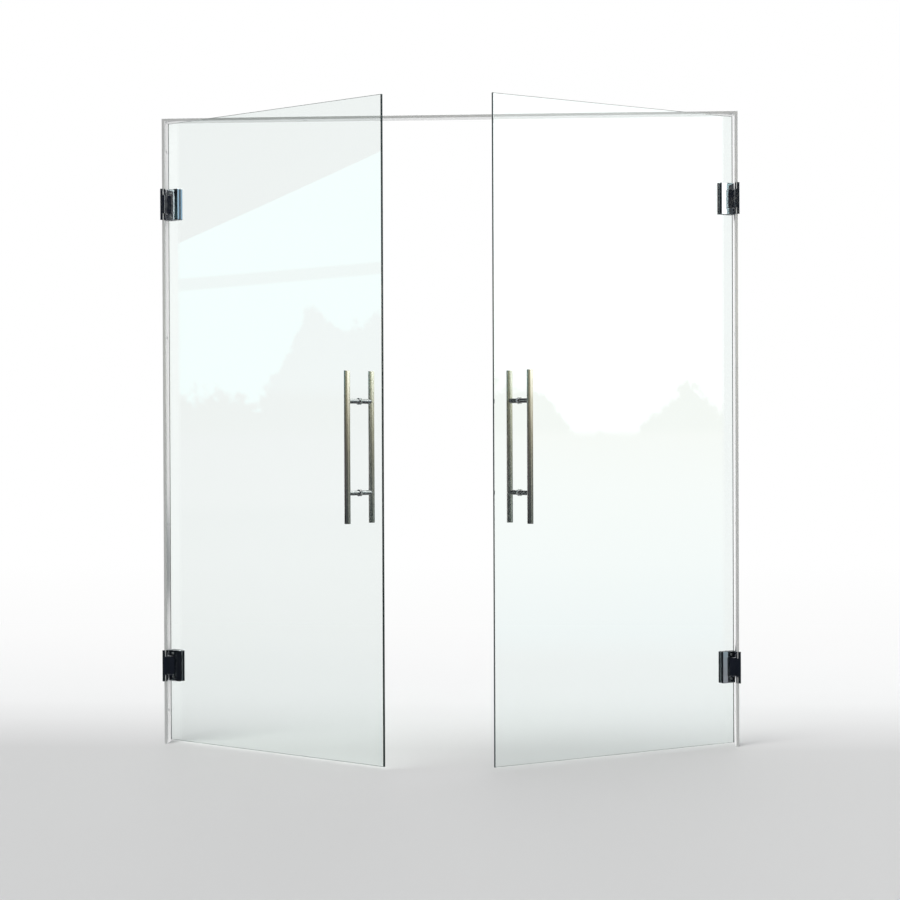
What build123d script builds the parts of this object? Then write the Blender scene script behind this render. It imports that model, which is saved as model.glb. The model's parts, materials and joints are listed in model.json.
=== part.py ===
"""Pair of frameless glass entrance doors on pivoting wall hinges, in a flat-bar frame.

Millimetres, +Z up. The origin is the middle of the head's top face and the viewer stands on the -Y side,
towards which both leaves stand open. Everything on the left is drawn here, and the right is its mirror image.
In a leaf's own coordinates, u runs from the pivot axis towards the free edge, "ahead" is towards the viewer
with the leaf shut, and both are measured from the pivot axis, which lies in the middle of the glass.
"""
import os

from build123d import *

# Frame, a flat bar on three sides
opening_width = 2000.0
opening_height = 2200.0
bar_thickness = 10.0
bar_depth = 60.0
bar_arris = 0.8
corner_screw_spacing = 36.0
corner_screw_length = 30.0
wall_hole_radius = 3.5
wall_hole_sink_radius = 6.75
jamb_hole_inset = 115.0
jamb_hole_count = 4
head_hole_spacing = 1000.0

# Leaves
rest_angle = 35.0
glass_thickness = 10.0
glass_arris = 1.0
top_gap = 4.0
floor_gap = 10.0
meeting_gap = 6.0
hanging_gap = 5.0

# Hinge centres, below the head's top face and above the floor
top_hinge_drop = 303.0
bottom_hinge_height = 276.0

# Wall brackets: leg in the jamb, lip round its front, arm and knuckle
pivot_setback = 20.0
knuckle_radius = 12.0
knuckle_height = 64.0
leg_thickness = 4.0
leg_rear_reach = 26.0
lip_thickness = 4.0
lip_reach = 16.0
lip_strip_width = 9.5
lip_edge_radius = 1.0
bracket_screw_offset = 20.3
bracket_screw_spacing = 84.0
bracket_screw_length = 9.5

# Clamp plates, gaskets and the glass cut-out behind them
plate_height = 110.0
plate_reach = 42.0
plate_overhang = 1.0
plate_thickness = 9.0
plate_heel_radius = 8.0
plate_corner_radius = 2.0
plate_edge_chamfer = 0.8
gasket_thickness = 1.0
gasket_inset = 1.5
notch_gap = 2.0
boss_half_width = 12.0
boss_height = 10.0
cutout_margin = 2.0
cutout_reach = 30.0
cutout_ear_radius = 8.0
cutout_ear_inset = 4.0
clamp_screw_reach = 23.0
clamp_screw_spacings = (76.0, 26.0)
clamp_screw_bite = 6.0

# Pins and washers
pin_radius = 6.0
pin_chamfer = 0.8
pin_flat_depth = 1.0
pin_flat_height = 12.0
washer_thickness = 0.8
washer_radius = 11.0

# Detent inside each knuckle: plunger, elastic spring rod and plug
detent_bore_radius = 4.0
plunger_length = 7.0
plug_length = 4.0
spring_radius = 3.6
spring_hole_radius = 1.5

# Countersunk screws, one size throughout
screw_radius = 2.5
screw_head_radius = 4.6
screw_socket_radius = 1.6
screw_socket_depth = 1.8
blind_end = 1.0

# Pulls, one bar on each face of each leaf
pull_length = 500.0
pull_centre_height = 1050.0
pull_edge_distance = 100.0
tube_radius = 10.0
tube_wall = 1.5
stand_off = 62.5
cap_thickness = 2.5
cap_spigot_length = 8.0
cap_chamfer = 0.8
post_spacing = 300.0
post_radius = 8.0
rosette_radius = 11.0
rosette_thickness = 1.6
rosette_chamfer = 0.5
pad_radius = 10.5
pad_thickness = 0.8
stud_radius = 4.0
stud_bite = 15.0
sleeve_radius = 7.0

# Clearances
running = 0.05
seat = 0.15
side_play = 0.1

# Worked out from the sizes above
frame_width = opening_width + 2 * bar_thickness
frame_height = opening_height + bar_thickness
jamb_middle_x = -(frame_width - bar_thickness) / 2
jamb_hole_pitch = (frame_height - 2 * jamb_hole_inset) / (jamb_hole_count - 1)
floor_z = -frame_height
pivot_x = pivot_setback - opening_width / 2
glass_heel_u = hanging_gap - pivot_setback
glass_tip_u = -pivot_x - meeting_gap / 2
glass_bottom_z = floor_z + floor_gap
glass_top_z = -(bar_thickness + top_gap)
half_glass = glass_thickness / 2
plate_inner = half_glass + gasket_thickness
plate_outer = plate_inner + plate_thickness
plate_heel_u = glass_heel_u - plate_overhang
notch_u = knuckle_radius + notch_gap
boss_start = knuckle_height / 2 + washer_thickness + 2 * side_play
pin_length = 2 * (boss_start + boss_height)
cutout_height = pin_length + 2 * cutout_margin
pull_u = glass_tip_u - pull_edge_distance
pull_z = floor_z + pull_centre_height
post_foot = half_glass + pad_thickness + rosette_thickness
stud_reach = post_foot + stud_bite
hinge_z = {"top": -top_hinge_drop, "bottom": floor_z + bottom_hinge_height}
post_z = [pull_z - post_spacing / 2, pull_z + post_spacing / 2]

os.makedirs("parts", exist_ok=True)


def plan(swing=0.0):
    """Level plane through the pivot axis: x is u, y to the rear."""
    along = Vector(1, 0, 0).rotate(Axis.Z, -swing)
    return Plane(origin=(pivot_x, 0, 0), x_dir=along, z_dir=(0, 0, 1))


def elevation(ahead=0.0, swing=0.0):
    """Upright plane that looks ahead: x is u, y up."""
    along = Vector(1, 0, 0).rotate(Axis.Z, -swing)
    plane = Plane(origin=(pivot_x, 0, 0), x_dir=along, z_dir=along.cross(Vector(0, 0, 1)))
    return plane.offset(ahead)


def rear_elevation(behind=0.0, swing=0.0):
    """Upright plane that looks to the rear: x is minus u, y up."""
    along = Vector(1, 0, 0).rotate(Axis.Z, -swing)
    plane = Plane(origin=(pivot_x, 0, 0), x_dir=-along, z_dir=Vector(0, 0, 1).cross(along))
    return plane.offset(behind)


def reveal():
    """The left jamb's inner face: x to the rear, y up."""
    return Plane(origin=(-opening_width / 2, 0, 0), x_dir=(0, 1, 0), z_dir=(1, 0, 0))


def span(x_range, y_range, mode=Mode.ADD):
    """Rectangle between two x values and two y values of the sketch."""
    with Locations((sum(x_range) / 2, sum(y_range) / 2)):
        Rectangle(abs(x_range[1] - x_range[0]), abs(y_range[1] - y_range[0]), mode=mode)


def sunk_screw(length):
    """Countersunk screw, its head flush with the XY plane."""
    head_height = screw_head_radius - screw_radius
    with BuildPart() as screw:
        with BuildSketch(Plane.XZ):
            with BuildLine():
                Polyline(
                    (0, 0),
                    (screw_head_radius, 0),
                    (screw_radius, -head_height),
                    (screw_radius, -length),
                    (0, -length),
                    close=True,
                )
            make_face()
        revolve(axis=Axis.Z)
        with BuildSketch():
            RegularPolygon(screw_socket_radius, 6)
        extrude(amount=-screw_socket_depth, mode=Mode.SUBTRACT)
    return screw.part


def sunk_hole():
    CounterSinkHole(screw_radius + running, screw_head_radius + running, counter_sink_angle=90)


def wall_hole():
    CounterSinkHole(wall_hole_radius, wall_hole_sink_radius, counter_sink_angle=90)


def save(piece, name):
    piece.label = name
    export_step(piece, f"parts/{name}.step")


# Frame


def head_bar():
    underside = Plane(origin=(0, 0, -bar_thickness), x_dir=(1, 0, 0), z_dir=(0, 0, -1))
    with BuildPart() as head:
        with BuildSketch():
            Rectangle(frame_width, bar_depth)
        extrude(amount=-bar_thickness)
        chamfer(head.edges().filter_by(Axis.X), bar_arris)
        with GridLocations(-2 * jamb_middle_x, corner_screw_spacing, 2, 2):
            sunk_hole()
        with Locations(underside):
            with GridLocations(head_hole_spacing, 0, 2, 1):
                wall_hole()
    return head.part


def left_jamb_bar():
    half_leg = plate_height / 2 + seat
    with BuildPart() as jamb:
        with BuildSketch(Plane.XY.offset(-bar_thickness)):
            with Locations((jamb_middle_x, 0)):
                Rectangle(bar_thickness, bar_depth)
        extrude(amount=-opening_height)
        chamfer(jamb.edges().filter_by(Axis.Z), bar_arris)
        with BuildSketch(reveal()):
            for z in hinge_z.values():
                span((-bar_depth / 2, leg_rear_reach + seat), (z - half_leg, z + half_leg))
        extrude(amount=-leg_thickness, mode=Mode.SUBTRACT)
        with Locations(reveal()):
            with Locations((0, -frame_height / 2)):
                with GridLocations(0, jamb_hole_pitch, 1, jamb_hole_count):
                    wall_hole()
            with Locations(*[(0, z) for z in hinge_z.values()]):
                with GridLocations(2 * bracket_screw_offset, bracket_screw_spacing, 2, 2):
                    Hole(screw_radius + running)
        with Locations((jamb_middle_x, 0, -bar_thickness)):
            with GridLocations(0, corner_screw_spacing, 1, 2):
                Hole(screw_radius + running, depth=corner_screw_length - bar_thickness + blind_end)
    return jamb.part


def frame_corner_screws():
    with BuildPart() as screws:
        with GridLocations(-2 * jamb_middle_x, corner_screw_spacing, 2, 2):
            add(sunk_screw(corner_screw_length))
    return screws.part


# Hinges, the pieces that stay with the jamb


def wall_bracket(level):
    z = hinge_z[level]
    leg_u = (-pivot_setback - leg_thickness, -pivot_setback)
    lip_u = (-pivot_setback - lip_reach, -pivot_setback)
    lip_y = (-bar_depth / 2 - lip_thickness, -bar_depth / 2)
    leg_back = reveal().offset(-leg_thickness)
    detent_mouth = Plane(origin=leg_back.origin + Vector(0, 0, z), x_dir=(0, 1, 0), z_dir=(-1, 0, 0))
    with BuildPart() as bracket:
        with BuildSketch(plan().offset(z - knuckle_height / 2)):
            Circle(knuckle_radius)
            span((-pivot_setback, 0), (-knuckle_radius, knuckle_radius))
            span(leg_u, (lip_y[0], leg_rear_reach))
            span(lip_u, lip_y)
        extrude(amount=knuckle_height)
        with BuildSketch(plan().offset(z - plate_height / 2)):
            span(leg_u, (-bar_depth / 2, leg_rear_reach))
            span((lip_u[0], lip_u[0] + lip_strip_width), lip_y)
        extrude(amount=plate_height)
        fillet(bracket.edges().filter_by(Axis.Z).group_by(Axis.Y)[0], lip_edge_radius)
        with Locations(plan().offset(z + knuckle_height / 2)):
            Hole(pin_radius + running)
        with Locations(detent_mouth):
            Hole(detent_bore_radius, depth=pivot_setback + leg_thickness)
        with Locations(reveal()):
            with Locations((0, z)):
                with GridLocations(2 * bracket_screw_offset, bracket_screw_spacing, 2, 2):
                    sunk_hole()
    return bracket.part


def left_bracket_screws():
    with BuildPart() as screws:
        with Locations(reveal()):
            with Locations(*[(0, z) for z in hinge_z.values()]):
                with GridLocations(2 * bracket_screw_offset, bracket_screw_spacing, 2, 2):
                    add(sunk_screw(bracket_screw_length))
    return screws.part


def detent_axes():
    """Planes on the pivot axes whose normals point at the left jamb, one at each hinge."""
    return [Plane(origin=(pivot_x, 0, z), x_dir=(0, 1, 0), z_dir=(-1, 0, 0)) for z in hinge_z.values()]


def left_detent_plungers():
    with BuildPart() as plungers:
        for axis_plane in detent_axes():
            with BuildSketch(axis_plane.offset(pin_radius + side_play)):
                Circle(detent_bore_radius - running)
            extrude(amount=plunger_length)
    return plungers.part


def left_detent_plugs():
    with BuildPart() as plugs:
        for axis_plane in detent_axes():
            with BuildSketch(axis_plane.offset(pivot_setback + leg_thickness - plug_length)):
                Circle(detent_bore_radius - running)
            extrude(amount=plug_length)
    return plugs.part


def left_detent_springs():
    """Short elastic rods with a hole, pressed between plunger and plug."""
    start = pin_radius + side_play + plunger_length
    with BuildPart() as springs:
        for axis_plane in detent_axes():
            with BuildSketch(axis_plane.offset(start)):
                Circle(spring_radius)
                Circle(spring_hole_radius, mode=Mode.SUBTRACT)
            extrude(amount=pivot_setback + leg_thickness - plug_length - start)
    return springs.part


def left_thrust_washers():
    play = knuckle_height / 2 + side_play
    with BuildPart() as washers:
        for z in hinge_z.values():
            for bottom in (z + play, z - play - washer_thickness):
                with BuildSketch(plan().offset(bottom)):
                    Circle(washer_radius)
                    Circle(pin_radius + running, mode=Mode.SUBTRACT)
                extrude(amount=washer_thickness)
    return washers.part


# Hinges, the pieces that turn with the leaf


def pivot_pin(level):
    z = hinge_z[level]
    leaf = plan(rest_angle)
    with BuildPart() as pin:
        with BuildSketch(leaf.offset(z - pin_length / 2)):
            Circle(pin_radius)
        extrude(amount=pin_length)
        chamfer(pin.edges().filter_by(GeomType.CIRCLE), pin_chamfer)
        with BuildSketch(leaf.offset(z - pin_flat_height / 2)):
            span((-2 * pin_radius, pin_flat_depth - pin_radius), (-pin_radius, pin_radius))
        extrude(amount=pin_flat_height, mode=Mode.SUBTRACT)
    return pin.part


def plate_outline(z, inset=0.0):
    """Clamp plate seen from ahead, with its notch round the knuckle."""
    half_height = plate_height / 2 - inset
    half_notch = boss_start
    span((plate_heel_u + inset, plate_reach - inset), (z - half_height, z + half_height))
    fillet(vertices().group_by(Axis.X)[-1], plate_corner_radius)
    span((plate_heel_u, notch_u), (z - half_notch, z + half_notch), mode=Mode.SUBTRACT)


def cutout_outline(z, mode=Mode.ADD):
    """Cut-out in the glass's hanging edge, with a round ear in each inner corner."""
    half_height = cutout_height / 2
    span((glass_heel_u - 1, cutout_reach), (z - half_height, z + half_height), mode=mode)
    for ear_z in (z - half_height + cutout_ear_inset, z + half_height - cutout_ear_inset):
        with Locations((cutout_reach - cutout_ear_inset, ear_z)):
            Circle(cutout_ear_radius, mode=mode)


def clamp_plate(level, face):
    """Plate ahead of the glass where face is 1, behind it where face is -1, with its half of the pin bosses."""
    z = hinge_z[level]
    leaf = elevation(swing=rest_angle)
    along_leaf = Axis((0, 0, 0), leaf.x_dir)
    outwards = Axis((0, 0, 0), leaf.z_dir * face)
    with BuildPart() as plate:
        with BuildSketch(leaf.offset(face * plate_inner)):
            plate_outline(z)
        extrude(amount=face * plate_thickness)
        heel = plate.edges().filter_by(Axis.Z).group_by(along_leaf)[0].group_by(outwards)[-1]
        fillet(heel, plate_heel_radius)
        outer_rim = plate.faces().sort_by(outwards)[-1].edges().group_by(Axis.Z)
        chamfer(outer_rim[0] + outer_rim[-1], plate_edge_chamfer)
        with BuildSketch(leaf):
            for boss_z in (z - boss_start - boss_height / 2, z + boss_start + boss_height / 2):
                with Locations((0, boss_z)):
                    Rectangle(2 * boss_half_width, boss_height)
        extrude(amount=face * plate_inner)
        with BuildSketch(plan(rest_angle).offset(z - pin_length / 2)):
            Circle(pin_radius + running)
        extrude(amount=pin_length, mode=Mode.SUBTRACT)
        if face > 0:
            with Locations(rear_elevation(-plate_inner, rest_angle)):
                with Locations(*clamp_screw_places(level)):
                    Hole(screw_radius + running, depth=clamp_screw_bite + blind_end)
        else:
            with Locations(rear_elevation(plate_outer, rest_angle)):
                with Locations(*clamp_screw_places(level)):
                    sunk_hole()
    return plate.part


def clamp_screw_places(level):
    """Points of the clamp screws on a plane that looks to the rear."""
    halves = [spacing / 2 for spacing in clamp_screw_spacings]
    return [(-clamp_screw_reach, hinge_z[level] + sign * half) for half in halves for sign in (-1, 1)]


def left_clamp_screws():
    screw = sunk_screw(plate_outer + plate_inner + clamp_screw_bite)
    with BuildPart() as screws:
        with Locations(rear_elevation(plate_outer, rest_angle)):
            for level in hinge_z:
                with Locations(*clamp_screw_places(level)):
                    add(screw)
    return screws.part


def clamp_gaskets(level):
    z = hinge_z[level]
    with BuildPart() as gaskets:
        for ahead in (half_glass, -half_glass - gasket_thickness):
            with BuildSketch(elevation(ahead, rest_angle)):
                plate_outline(z, gasket_inset)
                cutout_outline(z, mode=Mode.SUBTRACT)
            extrude(amount=gasket_thickness)
    return gaskets.part


# Glass


def left_glass_sheet():
    back = elevation(-half_glass, rest_angle)
    with BuildPart() as glass:
        with BuildSketch(back):
            span((glass_heel_u, glass_tip_u), (glass_bottom_z, glass_top_z))
        extrude(amount=glass_thickness)
        through = glass.edges().filter_by(Axis((0, 0, 0), back.z_dir))
        chamfer(glass.edges() - through, glass_arris)
        with BuildSketch(back):
            for z in hinge_z.values():
                cutout_outline(z)
            with Locations(*[(pull_u, z) for z in post_z]):
                Circle(sleeve_radius + running)
        extrude(amount=glass_thickness, mode=Mode.SUBTRACT)
    return glass.part


# Pulls, face is 1 for the bar ahead of the glass and -1 for the one behind it


def pull_tube(face):
    with BuildPart() as tube:
        with BuildSketch(plan(rest_angle).offset(pull_z - pull_length / 2 + cap_thickness)):
            with Locations((pull_u, -face * stand_off)):
                Circle(tube_radius)
                Circle(tube_radius - tube_wall, mode=Mode.SUBTRACT)
        extrude(amount=pull_length - 2 * cap_thickness)
    return tube.part


def left_tube_caps():
    with BuildPart() as caps:
        for end in (-1, 1):
            mouth = plan(rest_angle).offset(pull_z + end * (pull_length / 2 - cap_thickness))
            with BuildSketch(mouth):
                with Locations((pull_u, -stand_off), (pull_u, stand_off)):
                    Circle(tube_radius)
            extrude(amount=end * cap_thickness)
            with BuildSketch(mouth):
                with Locations((pull_u, -stand_off), (pull_u, stand_off)):
                    Circle(tube_radius - tube_wall - running)
            extrude(amount=-end * cap_spigot_length)
        rims = caps.edges().filter_by(GeomType.CIRCLE).group_by(Axis.Z)
        chamfer(rims[0] + rims[-1], cap_chamfer)
    return caps.part


def pull_posts(face):
    foot = elevation(face * post_foot, rest_angle)
    places = [(pull_u, z) for z in post_z]
    with BuildPart() as posts:
        with BuildSketch(foot):
            with Locations(*places):
                Circle(post_radius)
        extrude(amount=face * (stand_off - post_foot))
        with BuildSketch(plan(rest_angle).offset(pull_z - pull_length / 2)):
            with Locations((pull_u, -face * stand_off)):
                Circle(tube_radius + running)
        extrude(amount=pull_length, mode=Mode.SUBTRACT)
        with BuildSketch(foot):
            with Locations(*places):
                Circle(stud_radius + running)
        extrude(amount=face * (stud_bite + blind_end), mode=Mode.SUBTRACT)
    return posts.part


def stud_ring_outlines(radius):
    """Rings round both studs, on an upright sketch."""
    with Locations(*[(pull_u, z) for z in post_z]):
        Circle(radius)
        Circle(stud_radius + running, mode=Mode.SUBTRACT)


def left_pull_rosettes():
    across = Axis((0, 0, 0), elevation(swing=rest_angle).z_dir)
    with BuildPart() as rosettes:
        for face in (-1, 1):
            with BuildSketch(elevation(face * (half_glass + pad_thickness), rest_angle)):
                stud_ring_outlines(rosette_radius)
            extrude(amount=face * rosette_thickness)
        circles = rosettes.edges().filter_by(GeomType.CIRCLE).group_by(across)
        rims = [edge for edge in circles[0] + circles[-1] if edge.radius > post_radius]
        chamfer(rims, rosette_chamfer)
    return rosettes.part


def left_pull_pads():
    with BuildPart() as pads:
        for face in (-1, 1):
            with BuildSketch(elevation(face * half_glass, rest_angle)):
                stud_ring_outlines(pad_radius)
            extrude(amount=face * pad_thickness)
    return pads.part


def left_pull_sleeves():
    with BuildPart() as sleeves:
        with BuildSketch(elevation(-half_glass, rest_angle)):
            stud_ring_outlines(sleeve_radius)
        extrude(amount=glass_thickness)
    return sleeves.part


def left_pull_studs():
    with BuildPart() as studs:
        with BuildSketch(elevation(-stud_reach, rest_angle)):
            with Locations(*[(pull_u, z) for z in post_z]):
                Circle(stud_radius)
        extrude(amount=2 * stud_reach)
    return studs.part


left_pieces = {
    "jamb": left_jamb_bar(),
    "bracket_screws": left_bracket_screws(),
    "detent_plungers": left_detent_plungers(),
    "detent_springs": left_detent_springs(),
    "detent_plugs": left_detent_plugs(),
    "thrust_washers": left_thrust_washers(),
    "glass": left_glass_sheet(),
    "clamp_screws": left_clamp_screws(),
    "outer_pull_tube": pull_tube(1),
    "inner_pull_tube": pull_tube(-1),
    "pull_tube_caps": left_tube_caps(),
    "outer_pull_posts": pull_posts(1),
    "inner_pull_posts": pull_posts(-1),
    "pull_rosettes": left_pull_rosettes(),
    "pull_pads": left_pull_pads(),
    "pull_sleeves": left_pull_sleeves(),
    "pull_studs": left_pull_studs(),
}
for level in hinge_z:
    left_pieces[f"{level}_bracket"] = wall_bracket(level)
    left_pieces[f"{level}_pin"] = pivot_pin(level)
    left_pieces[f"{level}_front_clamp"] = clamp_plate(level, 1)
    left_pieces[f"{level}_rear_clamp"] = clamp_plate(level, -1)
    left_pieces[f"{level}_gaskets"] = clamp_gaskets(level)

save(head_bar(), "head")
save(frame_corner_screws(), "corner_screws")
for name, piece in left_pieces.items():
    save(piece, f"left_{name}")
    save(mirror(piece, about=Plane.YZ), f"right_{name}")
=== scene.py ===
"""Looks for a pair of frameless glass doors that stand open in a slim bar frame.

The frame's solids keep their shapes. This script gives each of them its finish, adds the floor,
the light and the camera.
Lengths are metres: X right, Y away from the viewer, Z up, the head's top at Z = 0.
"""

import json
from math import cos, degrees, radians, sin

import bmesh
import bpy
from mathutils import Matrix, Vector

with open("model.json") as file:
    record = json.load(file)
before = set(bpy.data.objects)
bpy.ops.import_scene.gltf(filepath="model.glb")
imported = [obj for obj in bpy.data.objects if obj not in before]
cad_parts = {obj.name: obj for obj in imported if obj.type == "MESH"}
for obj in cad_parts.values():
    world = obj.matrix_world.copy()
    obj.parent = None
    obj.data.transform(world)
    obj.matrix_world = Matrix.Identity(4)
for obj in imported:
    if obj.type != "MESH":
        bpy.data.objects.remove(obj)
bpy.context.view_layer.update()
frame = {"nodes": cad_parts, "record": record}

FLOOR_Z = -2.210
FLOOR_RADIUS = 40.0
REST_SWING = radians(35)
LEFT, RIGHT = -1, 1
UP = (0, 0, 1)

# Most values of a noise lie between these two.
NOISE_LOW, NOISE_HIGH = 0.3, 0.7

# The turns, in degrees, that each leaf's glass reflects towards the camera.
LEFT_PANE = (-92.0, -73.0)
RIGHT_PANE = (58.0, 78.0)

# The rises, up or down, that the hinges reflect towards the camera, and the room left for them.
HINGE_RISE = (5.95, 6.8)
HINGE_ROOM = (4.9, 7.6)

CAMERA_PLACE = (0.4397, -7.1144, -1.1194)
CAMERA_YAW, CAMERA_PITCH, CAMERA_ROLL = 0.0612, 0.0077, -0.0039
SENSOR_MM, LENS_MM = 36.0, 81.01

LIGHT_FROM = Vector((-0.35, -0.55, 0.85))
# The even light that the surroundings cast on matt surfaces.
FILL_LIGHT = (0.62, 0.63, 0.64)


def grey(level):
    return (level, level, level)


class Graph:
    """The nodes of one material or world, with short calls for those used most."""

    def __init__(self, tree):
        self.tree = tree
        tree.nodes.clear()

    def feed(self, socket, value):
        """Links an output to the socket, or sets the socket's number, vector or colour."""
        if isinstance(value, bpy.types.NodeSocket):
            self.tree.links.new(value, socket)
        elif socket.type == "RGBA":
            socket.default_value = (*value, 1.0)
        else:
            socket.default_value = value

    def put(self, kind, inputs=None, **settings):
        node = self.tree.nodes.new("ShaderNode" + kind)
        for key, value in settings.items():
            setattr(node, key, value)
        for key, value in (inputs or {}).items():
            self.feed(node.inputs[key], value)
        return node

    def math(self, operation, first, second=0.0):
        return self.put("Math", {0: first, 1: second}, operation=operation).outputs[0]

    def add(self, first, second):
        return self.math("ADD", first, second)

    def less(self, first, second):
        return self.math("SUBTRACT", first, second)

    def times(self, first, second):
        return self.math("MULTIPLY", first, second)

    def larger(self, first, second):
        return self.math("MAXIMUM", first, second)

    def smaller(self, first, second):
        return self.math("MINIMUM", first, second)

    def size(self, value):
        return self.math("ABSOLUTE", value)

    def step(self, value, off, on):
        """0 up to off, 1 from on, smooth between. On may be the lower of the two."""
        inputs = {"Value": value, "From Min": off, "From Max": on}
        return self.put("MapRange", inputs, interpolation_type="SMOOTHSTEP").outputs[0]

    def band(self, value, low, high, soft):
        """1 between low and high, fading over soft at each side."""
        return self.times(
            self.step(value, low - soft, low + soft),
            self.step(value, high + soft, high - soft),
        )

    def mix(self, factor, first, second):
        inputs = {0: factor, 6: first, 7: second}
        return self.put("Mix", inputs, data_type="RGBA").outputs[2]

    def blend(self, factor, first, second):
        """A mix of two shaders."""
        return self.put("MixShader", {0: factor, 1: first.outputs[0], 2: second.outputs[0]})

    def profile(self, value, first, last, stops):
        """The colour at a value, from stops of (value, colour) in order from first to last."""
        inputs = {"Value": value, "From Min": first, "From Max": last}
        factor = self.put("MapRange", inputs).outputs[0]
        node = self.put("ValToRGB", {"Fac": factor})
        points = node.color_ramp.elements
        while len(points) < len(stops):
            points.new(0.5)
        for point, (at, colour) in zip(points, stops):
            point.position = (at - first) / (last - first)
            point.color = (*colour, 1.0)
        return node.outputs["Color"]

    def place(self, scale=(1, 1, 1), rotation=(0, 0, 0)):
        """The piece's own coordinates, which stay with it at every pose."""
        where = self.put("TexCoord").outputs["Object"]
        inputs = {"Vector": where, "Scale": scale, "Rotation": rotation}
        return self.put("Mapping", inputs).outputs[0]

    def noise(self, vector, scale, detail=3.0, roughness=0.55):
        inputs = {"Vector": vector, "Scale": scale, "Detail": detail, "Roughness": roughness}
        return self.put("TexNoise", inputs).outputs["Fac"]

    def spread(self, noise, low, high):
        """A noise stretched so that most of it runs from low to high."""
        inputs = {
            "Value": noise,
            "From Min": NOISE_LOW,
            "From Max": NOISE_HIGH,
            "To Min": low,
            "To Max": high,
        }
        return self.put("MapRange", inputs).outputs[0]

    def bump(self, height, depth):
        return self.put("Bump", {"Height": height, "Distance": depth}).outputs[0]

    def direct(self, path, *kinds):
        """1 for a ray of one of the kinds that no matt surface has scattered, else 0."""
        found = path[kinds[0]]
        for kind in kinds[1:]:
            found = self.larger(found, path[kind])
        scattered = self.smaller(path["Diffuse Depth"], 1.0)
        return self.times(found, self.less(1.0, scattered))


class Material(Graph):
    """A material with one Principled shader. An underscore stands for a space in an input."""

    def __init__(self, name, **constants):
        self.material = bpy.data.materials.new(name)
        self.material.use_nodes = True
        super().__init__(self.material.node_tree)
        self.shader = self.put("BsdfPrincipled")
        self.output = self.put("OutputMaterial")
        self.show(self.shader)
        self.set(**constants)

    def set(self, **values):
        """Feeds the shader's inputs and hands back the material."""
        for key, value in values.items():
            self.feed(self.shader.inputs[key.replace("_", " ")], value)
        return self.material

    def show(self, shader):
        self.feed(self.output.inputs["Surface"], shader.outputs[0])


def frame_paint():
    """Satin metallic grey powder coat: fine sparkle, slight orange peel, a smooth top coat."""
    paint = Material(
        "frame_paint", Metallic=0.6, Coat_Weight=1.0, Coat_IOR=1.6, Coat_Roughness=0.08
    )
    place = paint.place()
    flake = paint.noise(place, scale=2600.0, detail=2.0)
    cloud = paint.noise(place, scale=9.0)
    peel = paint.noise(place, scale=520.0, detail=1.0)
    tone = paint.mix(paint.spread(flake, 0.0, 1.0), (0.74, 0.75, 0.76), grey(0.84))
    tone = paint.mix(paint.spread(cloud, 0.0, 0.18), tone, (0.88, 0.88, 0.87))
    return paint.set(
        Base_Color=tone,
        Roughness=paint.spread(flake, 0.27, 0.38),
        Normal=paint.bump(peel, depth=0.00004),
    )


def polished_chrome():
    """Mirror-bright plating with a breath of haze and hairline polishing marks."""
    chrome = Material("polished_chrome", Metallic=1.0)
    haze = chrome.noise(chrome.place(), scale=38.0)
    hairs = chrome.noise(chrome.place(scale=(1, 1, 0.03)), scale=2400.0, detail=2.0)
    tone = chrome.mix(chrome.spread(haze, 0.0, 1.0), (0.55, 0.575, 0.60), (0.62, 0.64, 0.66))
    rough = chrome.add(chrome.spread(haze, 0.025, 0.06), chrome.spread(hairs, 0.0, 0.03))
    return chrome.set(
        Base_Color=tone, Roughness=rough, Normal=chrome.bump(hairs, depth=0.0000012)
    )


def satin_steel(name, dark, light, line_tone, rough, turn=(0, 0, 0), **constants):
    """Brushed stainless. The brush lines run along the axis that turn brings to Z."""
    steel = Material(name, Metallic=1.0, **constants)
    lines = steel.noise(steel.place(scale=(1, 1, 0.012), rotation=turn), scale=3200.0)
    broad = steel.noise(steel.place(scale=(1, 1, 0.05), rotation=turn), scale=420.0)
    tone = steel.mix(steel.spread(broad, 0.0, 1.0), dark, light)
    return steel.set(
        Base_Color=steel.mix(steel.spread(lines, 0.0, 0.3), tone, line_tone),
        Roughness=steel.spread(lines, *rough),
        Normal=steel.bump(lines, depth=0.000006),
    )


def turned_steel(name, dark, light, rough, scale):
    """Plain machined steel with a fine cross-wise tool mark."""
    steel = Material(name, Metallic=1.0)
    cut = steel.noise(steel.place(scale=(0.05, 0.05, 1)), scale, detail=2.0)
    return steel.set(
        Base_Color=steel.mix(steel.spread(cut, 0.0, 1.0), dark, light),
        Roughness=steel.spread(cut, *rough),
        Normal=steel.bump(cut, depth=0.000004),
    )


def soft_plastic(name, dark, light, rough, scale, **constants):
    """Moulded rubber or nylon: a matt, finely grained surface with slight mottling."""
    plastic = Material(name, **constants)
    place = plastic.place()
    grain = plastic.noise(place, scale, detail=4.0)
    cloud = plastic.noise(place, scale * 0.03)
    return plastic.set(
        Base_Color=plastic.mix(plastic.spread(cloud, 0.0, 1.0), dark, light),
        Roughness=plastic.spread(grain, *rough),
        Normal=plastic.bump(grain, depth=0.00002),
    )


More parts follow.
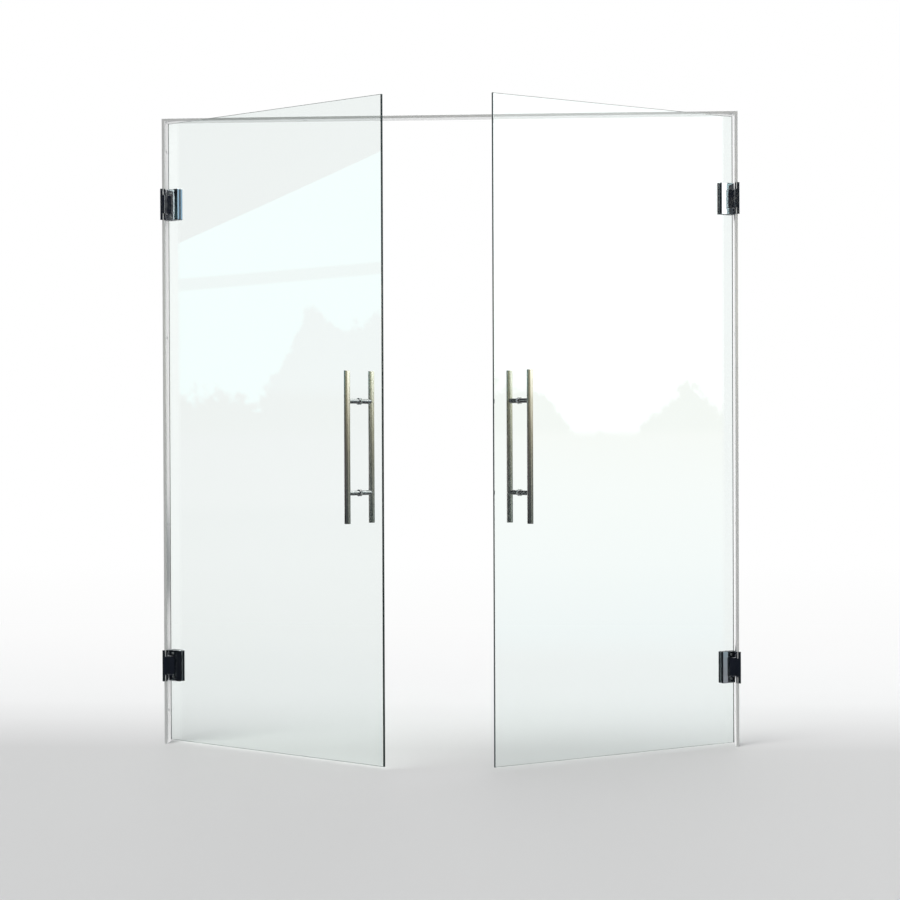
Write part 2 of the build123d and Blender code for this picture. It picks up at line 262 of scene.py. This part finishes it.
def clear_glass(name, side):
    """Clear float glass in one leaf, with painted shade on the upright edges and a painted
    glint on the level ones.
    """
    glass = Material(name, IOR=1.5)
    facing = glass.put("TexCoord").outputs["Normal"]
    to_free_edge = (-side * cos(REST_SWING), -sin(REST_SWING), 0.0)

    def faces(direction):
        """1 on the faces that look along the direction, either way."""
        dot = glass.put("VectorMath", {0: facing, 1: direction}, operation="DOT_PRODUCT")
        return glass.step(glass.size(dot.outputs["Value"]), 0.80, 0.90)

    upright_edge, level_edge = faces(to_free_edge), faces(UP)
    edge = glass.larger(upright_edge, level_edge)
    drift = glass.spread(glass.noise(glass.place(), scale=1.3), 0.0, 1.0)
    ground = glass.spread(glass.noise(glass.place(), scale=600.0, detail=4.0), 0.0, 1.0)
    body = glass.mix(drift, (0.945, 0.988, 0.972), (0.95, 0.992, 0.98))
    # Painted shade: the upright edges are coloured near black. Painted highlight: the level
    # edges are coloured pale, as a glint.
    painted_rim_shade = glass.mix(ground, (0.012, 0.022, 0.022), (0.03, 0.05, 0.048))
    painted_edge_glint = glass.mix(ground, (0.72, 0.84, 0.82), (0.86, 0.93, 0.92))
    edge_opacity, edge_roughness = 0.8, 0.28
    glass.set(
        Base_Color=glass.mix(level_edge, glass.mix(upright_edge, body, painted_rim_shade), painted_edge_glint),
        Transmission_Weight=glass.less(1.0, glass.times(edge, edge_opacity)),
        Roughness=glass.times(edge, edge_roughness),
    )
    lamp_ray = glass.put("LightPath").outputs["Is Shadow Ray"]
    through = glass.put("BsdfTransparent", {"Color": (0.925, 0.94, 0.935)})
    glass.show(glass.blend(lamp_ray, glass.shader, through))
    return glass.material


def dress_nodes():
    """Gives each solid of the frame its finish."""
    upright_steel = satin_steel(
        "satin_steel_tube",
        dark=(0.56, 0.56, 0.53),
        light=(0.68, 0.67, 0.64),
        line_tone=(0.32, 0.31, 0.29),
        rough=(0.12, 0.18),
        Anisotropic=1.0,
    )
    # The posts are the same satin steel as the tubes, given a darker colour as painted shade.
    post_steel_painted_shade = satin_steel(
        "satin_steel_post",
        dark=(0.37, 0.38, 0.39),
        light=(0.45, 0.46, 0.47),
        line_tone=(0.26, 0.26, 0.25),
        rough=(0.09, 0.16),
        turn=(radians(90), 0, 0),
    )
    finishes = {
        "frame_paint": frame_paint(),
        "polished_chrome": polished_chrome(),
        "screw_steel": turned_steel(
            "screw_steel",
            dark=(0.40, 0.41, 0.42),
            light=(0.62, 0.63, 0.64),
            rough=(0.22, 0.36),
            scale=1800.0,
        ),
        "pin_steel": turned_steel(
            "pin_steel",
            dark=(0.44, 0.45, 0.47),
            light=(0.60, 0.61, 0.63),
            rough=(0.12, 0.24),
            scale=3000.0,
        ),
        "gasket_rubber": soft_plastic(
            "gasket_rubber",
            dark=(0.20, 0.22, 0.235),
            light=(0.27, 0.30, 0.32),
            rough=(0.35, 0.5),
            scale=1500.0,
        ),
        "nylon": soft_plastic(
            "nylon",
            dark=(0.70, 0.71, 0.70),
            light=(0.80, 0.81, 0.80),
            rough=(0.38, 0.52),
            scale=1200.0,
            Subsurface_Weight=0.1,
            Subsurface_Scale=0.002,
        ),
        "urethane": soft_plastic(
            "urethane",
            dark=(0.52, 0.25, 0.05),
            light=(0.66, 0.36, 0.08),
            rough=(0.35, 0.5),
            scale=900.0,
            Subsurface_Weight=0.15,
            Subsurface_Scale=0.002,
        ),
    }
    glass = {
        "left_glass": clear_glass("clear_glass_left", LEFT),
        "right_glass": clear_glass("clear_glass_right", RIGHT),
    }
    for part in frame["record"]["subparts"]:
        node, slot = part["node"], part["material_slot"]
        if slot == "clear_glass":
            finish = glass[node]
        elif slot == "satin_steel":
            upright = node.endswith(("tube", "tube_caps"))
            finish = upright_steel if upright else post_steel_painted_shade
        else:
            finish = finishes[slot]
        slots = frame["nodes"][node].data.materials
        slots.clear()
        slots.append(finish)


def floor_finish():
    """Painted shade makes it grey close in front of the doors, painted light makes it pale
    further off, and far away it turns into a painted glow. Reflections look through it.
    """
    finish = Material("floor", Roughness=0.65)
    place = finish.put("TexCoord").outputs["Object"]
    across, away, _ = finish.put("SeparateXYZ", {0: place}).outputs
    far = finish.put("VectorMath", {0: place}, operation="LENGTH").outputs["Value"]

    # Painted shade and light: the floor's colour runs from grey close in front of the doors to
    # pale far off.
    tones = [
        (-0.4, grey(0.65)),
        (-0.12, grey(0.655)),
        (0.13, grey(0.725)),
        (0.35, grey(0.782)),
        (0.62, grey(0.85)),
        (1.1, grey(0.93)),
        (1.5, grey(0.955)),
        (3.2, grey(0.975)),
    ]
    pale = finish.profile(away, -0.4, 3.2, tones)
    # Painted light: paler again far to the sides and far towards the viewer.
    beside = finish.step(finish.size(across), 2.4, 4.6)
    near_viewer = finish.step(away, -3.0, -5.4)
    pale = finish.mix(finish.larger(beside, near_viewer), pale, grey(0.93))
    grain = finish.spread(finish.noise(place, scale=220.0), 0.0, 0.05)
    speck = finish.times(grain, finish.step(away, 1.0, 0.0))
    finish.set(Base_Color=finish.mix(speck, pale, grey(0.5)))

    # Painted glow: far away the floor shows an emission that turns into the background.
    far_glow_tones = [
        (1.0, grey(0.94)),
        (2.0, grey(0.952)),
        (3.6, grey(0.965)),
        (6.2, grey(0.982)),
        (10.0, grey(1.0)),
    ]
    reach = finish.larger(away, finish.times(far, 0.65))
    haze = finish.profile(reach, 0.0, 10.0, far_glow_tones)
    glow = finish.put("Emission", {"Color": haze, "Strength": 1.0})
    path = finish.put("LightPath").outputs
    direct = finish.direct(path, "Is Camera Ray", "Is Transmission Ray")
    fade = finish.larger(finish.step(far, 7.0, 16.0), finish.step(away, 0.9, 4.5))
    lit = finish.blend(finish.times(fade, direct), finish.shader, glow)
    mirrored = finish.smaller(path["Glossy Depth"], 1.0)
    finish.show(finish.blend(mirrored, lit, finish.put("BsdfTransparent")))
    finish.material.cycles.emission_sampling = "NONE"
    return finish.material


def make_floor():
    """A wide plain floor that fades into the background far away and keeps the shadows."""
    mesh = bpy.data.meshes.new("floor")
    shape = bmesh.new()
    bmesh.ops.create_circle(shape, cap_ends=True, segments=96, radius=FLOOR_RADIUS)
    shape.to_mesh(mesh)
    shape.free()
    mesh.materials.append(floor_finish())
    floor = bpy.data.objects.new("floor", mesh)
    floor.location = (0, 0, FLOOR_Z)
    bpy.context.scene.collection.objects.link(floor)


class Surroundings(Graph):
    """What glass and metal reflect, as a colour for each direction.

    Turn is 0 towards the viewer, 90 to the right and 180 behind the doors, and rise is 90
    straight up, both in degrees. Each part is painted over the ones before it.
    """

    def __init__(self, tree):
        super().__init__(tree)
        self.direction = self.put("TexCoord").outputs["Generated"]
        x, self.away, z = self.put("SeparateXYZ", {0: self.direction}).outputs
        towards = self.times(self.away, -1.0)
        self.rise = self.times(self.math("ARCSINE", z), degrees(1))
        self.turn = self.times(self.math("ARCTAN2", x, towards), degrees(1))
        self.steep = self.size(self.rise)
        self.left = self.band(self.turn, *LEFT_PANE, 1.0)
        self.right = self.band(self.turn, *RIGHT_PANE, 2.0)
        self.seen = self.walls()
        self.paint_eaves()
        self.paint_trees()
        self.paint_ground()
        self.paint_low_sky()
        self.paint_post_arcs()
        self.paint_hinge_marks()

    def paint(self, where, colour):
        self.seen = self.mix(where, self.seen, colour)

    def walls(self):
        """A dark side to the left, a bright one to the right, two dark uprights between."""
        white, plain, bright, shut = grey(1.0), grey(0.38), grey(2.2), (0.04, 0.045, 0.05)
        left_upright, right_upright = (0.010, 0.014, 0.026), (0.012, 0.015, 0.02)
        stops = [
            (-180, white),
            (-145, white),
            (-122, (0.012, 0.014, 0.018)),
            (-60, (0.01, 0.012, 0.016)),
            (-50, (0.12, 0.13, 0.15)),
            (-15, plain),
            (-13.4, left_upright),
            (-9, left_upright),
            (-7.5, plain),
            (2, plain),
            (3, right_upright),
            (6.4, right_upright),
            (8, plain),
            (50, grey(0.5)),
            (62, bright),
            (82, bright),
            (90, shut),
            (122, shut),
            (145, white),
            (180, white),
        ]
        return self.profile(self.turn, -180, 180, stops)

    def paint_eaves(self):
        """Bright sky under sloping eaves in the left leaf, and a pale blue pane to the right.

        The eaves and the thin beam below them are straight lines in turn and rise.
        """
        start_turn, start_rise = -81.2, 5.33
        eaves_slope, beam_slope = 0.455, 0.088
        beam_low, beam_high, beam_weight = 4.03, 4.37, 0.6
        along = self.less(self.turn, start_turn)
        eaves = self.add(self.times(along, eaves_slope), start_rise)
        under = self.step(self.less(eaves, self.rise), -0.03, 0.03)
        levelled = self.less(self.rise, self.times(along, beam_slope))
        beam = self.band(levelled, beam_low, beam_high, 0.05)
        clear = self.less(1.0, self.times(beam, beam_weight))
        sky = self.times(self.times(self.left, under), clear)
        self.paint(sky, (0.6, 1.2, 1.2))
        pane_turn = self.band(self.turn, 92.0, 112.0, 2.0)
        pane_rise = self.band(self.rise, 4.0, 10.0, 0.6)
        self.paint(self.times(pane_turn, pane_rise), (0.52, 0.75, 0.94))

    def paint_trees(self):
        """Tree tops with ragged outlines in both leaves, a fir and bushes in the right one."""
        low_crown, taller_by, ragged_by = 1.25, 2.05, 0.55
        fir_turn, fir_top, fir_slope = 73.18, 1.9, 1.25
        near_bush, far_bush = 1.6, 0.8
        ragged = self.noise(self.direction, scale=55.0, detail=8.0, roughness=0.66)
        twigs = self.spread(ragged, -ragged_by, ragged_by)
        taller = self.times(self.step(self.turn, -78.9, -77.3), taller_by)
        crowns = self.add(taller, low_crown)
        beside_fir = self.size(self.less(self.turn, fir_turn))
        fir = self.add(self.times(beside_fir, -fir_slope), fir_top)
        near_bushes = self.times(self.step(self.turn, 70.4, 68.2), near_bush)
        far_bushes = self.times(self.step(self.turn, 73.2, 74.0), far_bush)
        right_tops = self.larger(fir, self.larger(near_bushes, far_bushes))
        tops = self.add(self.times(self.left, crowns), self.times(self.right, right_tops))
        under_tops = self.less(self.add(tops, twigs), self.rise)
        leafy = self.step(under_tops, -0.12, 0.3)
        low = self.step(self.rise, 1.5, 0.9)
        left_tone = self.mix(low, (0.22, 0.32, 0.34), (0.07, 0.07, 0.03))
        tone = self.mix(self.right, left_tone, (0.52, 0.52, 0.24))
        self.paint(self.times(leafy, self.larger(self.left, self.right)), tone)

    def paint_ground(self):
        """A lawn in the right leaf, a dark shore elsewhere and white behind the doors."""
        stops = [
            (0.0, (0.80, 0.74, 0.48)),
            (-0.7, (0.80, 0.78, 0.60)),
            (-1.6, (0.79, 0.83, 0.71)),
            (-5.6, (0.37, 0.60, 0.68)),
            (-6.4, (0.36, 0.37, 0.385)),
            (-7.9, (0.35, 0.35, 0.38)),
        ]
        lawn = self.profile(self.rise, 0.0, -10.0, stops)
        near = self.step(self.rise, -1.8, -2.3)
        shore = self.mix(near, (0.15, 0.12, 0.14), (0.012, 0.014, 0.018))
        soil = self.mix(self.right, shore, lawn)
        soil = self.mix(self.step(self.away, 0.35, 0.7), soil, grey(1.0))
        self.paint(self.step(self.rise, 0.25, -0.15), soil)

    def paint_low_sky(self):
        """The light at the horizon that the pull bars show: cream above and cool grey below."""
        level = self.band(self.rise, -4.6, 4.6, 0.6)
        dull = [
            (-4.5, (0.05, 0.06, 0.06)),
            (-2.2, (0.08, 0.10, 0.105)),
            (-1.2, (0.12, 0.14, 0.135)),
            (-0.35, (0.135, 0.13, 0.105)),
            (0.5, (0.30, 0.26, 0.20)),
            (1.1, (0.38, 0.36, 0.26)),
            (1.7, (0.58, 0.60, 0.42)),
            (4.5, (0.58, 0.60, 0.42)),
        ]
        in_front = self.band(self.turn, -54.0, 30.0, 10.0)
        self.paint(self.times(level, in_front), self.profile(self.rise, -5, 5, dull))
        sunny = [
            (-4.5, (0.05, 0.06, 0.06)),
            (-2.2, (0.11, 0.14, 0.155)),
            (-1.2, (0.18, 0.205, 0.20)),
            (-0.35, (0.24, 0.23, 0.18)),
            (0.5, (0.70, 0.66, 0.53)),
            (1.08, (1.05, 0.98, 0.78)),
            (1.6, (2.4, 2.4, 2.0)),
            (4.5, (2.4, 2.3, 1.9)),
        ]
        lean = self.add(self.turn, self.times(self.rise, 8.0))
        aside = self.times(self.band(lean, 34.0, 150.0, 8.0), self.less(1.0, self.right))
        self.paint(self.times(level, aside), self.profile(self.rise, -5, 5, sunny))

    def arc(self, side, near, bend, far, foot):
        """Where a pull's posts look: turns from near to far, and past bend only steep ones.

        The rises that the hinges reflect stay free of it.
        """
        soft = 2.0
        sideways = self.times(self.turn, side)
        free = self.less(1.0, self.band(self.steep, *HINGE_ROOM, 0.3))
        inner = self.times(self.band(sideways, near, bend, soft), free)
        steep_enough = self.step(self.steep, foot - soft, foot + soft)
        outer = self.times(self.band(sideways, bend, far, soft), steep_enough)
        not_overhead = self.step(self.steep, 56.0, 48.0)
        return self.times(self.larger(inner, outer), not_overhead)

    def paint_post_arcs(self):
        """Pale floor and ceiling, and dark or bright arcs between them for the pulls' posts."""
        self.paint(self.step(self.rise, -10.0, -13.0), (0.62, 0.63, 0.63))
        left_arc = self.arc(LEFT, near=96.0, bend=126.0, far=162.0, foot=19.0)
        self.paint(left_arc, (0.02, 0.025, 0.03))
        right_arc = self.arc(RIGHT, near=94.0, bend=122.0, far=162.0, foot=22.0)
        below, above = self.step(self.rise, -0.5, -1.5), self.step(self.rise, 18.5, 21.5)
        self.paint(self.times(right_arc, below), (0.05, 0.055, 0.06))
        self.paint(self.times(right_arc, above), (2.5, 2.5, 2.45))
        self.paint(self.step(self.rise, 58.0, 74.0), grey(1.8))

    def paint_hinge_marks(self):
        """The dark that the hinges' end faces show, and one small flare."""
        round_by = self.size(self.turn)
        ends = self.larger(self.step(round_by, 32.0, 27.0), self.step(round_by, 124.0, 135.0))
        hinges = self.band(self.steep, *HINGE_RISE, 0.08)
        self.paint(self.times(hinges, ends), (0.014, 0.017, 0.026))
        flare_turn = self.band(self.turn, -75.0, -73.4, 0.2)
        flare_rise = self.band(self.rise, 5.5, 7.3, 0.2)
        self.paint(self.times(flare_turn, flare_rise), grey(2.2))

    def backdrop(self):
        """The background itself: white, and greyer far down."""
        stops = [
            (-9.0, grey(0.74)),
            (-8.0, grey(0.89)),
            (-7.0, grey(0.955)),
            (-6.0, grey(0.968)),
            (-4.7, grey(0.98)),
            (-3.5, grey(1.0)),
        ]
        return self.profile(self.rise, -9.0, -3.5, stops)


def make_world():
    """Plain pale light. Seen directly it is a white background, and glass and metal reflect
    surroundings like the photograph's."""
    world = bpy.data.worlds.new("studio")
    bpy.context.scene.world = world
    world.use_nodes = True
    around = Surroundings(world.node_tree)
    path = around.put("LightPath").outputs
    direct = around.direct(path, "Is Camera Ray", "Is Transmission Ray", "Is Glossy Ray")
    mirrored = around.smaller(path["Glossy Depth"], 1.0)
    shown = around.mix(mirrored, around.backdrop(), around.seen)
    colour = around.mix(direct, FILL_LIGHT, shown)
    background = around.put("Background", {"Color": colour, "Strength": 1.0})
    around.put("OutputWorld", {"Surface": background.outputs[0]})
    world.cycles.sampling_method = "NONE"


def make_light():
    """One broad soft lamp from the upper left in front."""
    lamp = bpy.data.lights.new("soft_key", "SUN")
    lamp.energy = 1.35
    lamp.angle = radians(35)
    lamp.color = (1.0, 0.99, 0.97)
    key = bpy.data.objects.new("soft_key", lamp)
    key.rotation_euler = LIGHT_FROM.to_track_quat("Z", "Y").to_euler()
    bpy.context.scene.collection.objects.link(key)


def make_camera():
    """The photograph's own camera, worked out from the frame's and the leaves' edges."""
    turned = Matrix.Rotation(CAMERA_YAW, 3, "Z")
    tipped = Matrix.Rotation(CAMERA_PITCH, 3, "X")
    rolled = Matrix.Rotation(CAMERA_ROLL, 3, "Z")
    level = Matrix(((1, 0, 0), (0, 0, -1), (0, 1, 0)))
    right, down, ahead = rolled @ tipped @ level @ turned.transposed()
    axes = Matrix((right, -down, -ahead)).transposed()
    data = bpy.data.cameras.new("camera")
    data.sensor_width = SENSOR_MM
    data.lens = LENS_MM
    camera = bpy.data.objects.new("camera", data)
    camera.matrix_world = Matrix.Translation(CAMERA_PLACE) @ axes.to_4x4()
    bpy.context.scene.collection.objects.link(camera)
    bpy.context.scene.camera = camera


dress_nodes()
make_floor()
make_world()
make_light()
make_camera()
bpy.context.scene.view_settings.view_transform = "Standard"
